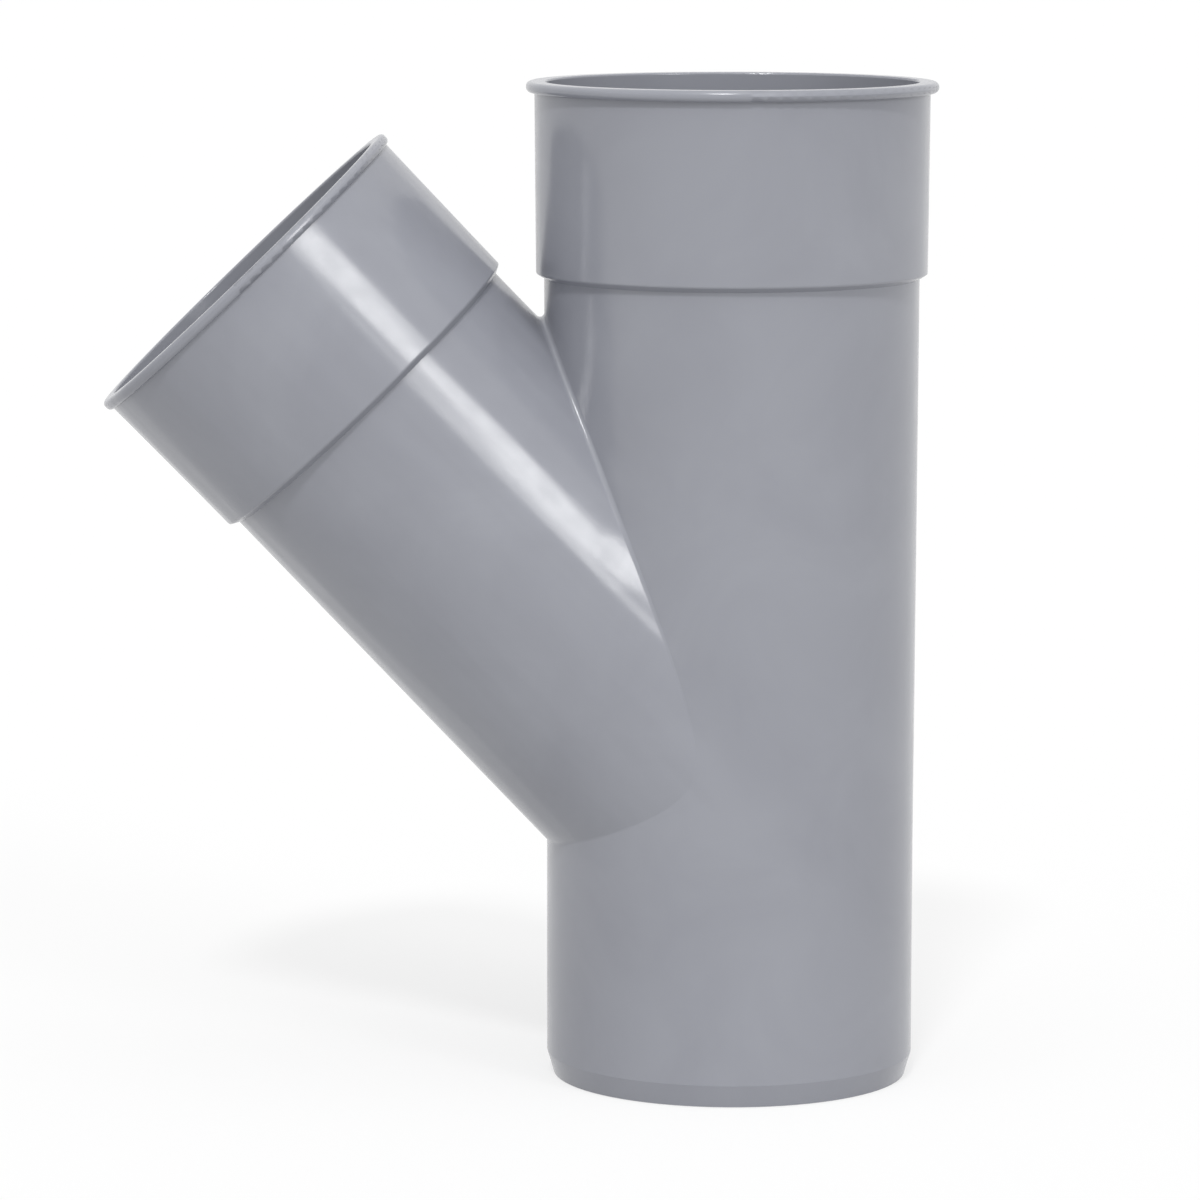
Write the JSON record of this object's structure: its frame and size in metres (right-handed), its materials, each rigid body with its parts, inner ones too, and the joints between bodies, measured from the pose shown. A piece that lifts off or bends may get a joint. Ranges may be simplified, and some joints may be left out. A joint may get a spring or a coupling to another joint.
{
  "type": "lateral wye fitting",
  "caption": "Lateral wye drain fitting: a straight run with a spigot end and a beaded socket, and a slanted side branch ending in a beaded socket.",
  "frame": {"origin": "centre of the spigot's end face, on the run's axis", "axes": "+Z along the run's axis, from the spigot end to the run's socket; -X is the side that the branch leans to, and the branch's axis lies in the XZ plane"},
  "size_m": [0.2476, 0.1222, 0.2984],
  "materials": {
    "grey_pvc": "grey injection-moulded PVC-U with a soft gloss and a fine mould texture"
  },
  "bodies": {
    "root": {"wye_body": "grey_pvc"}
  },
  "joints": []
}
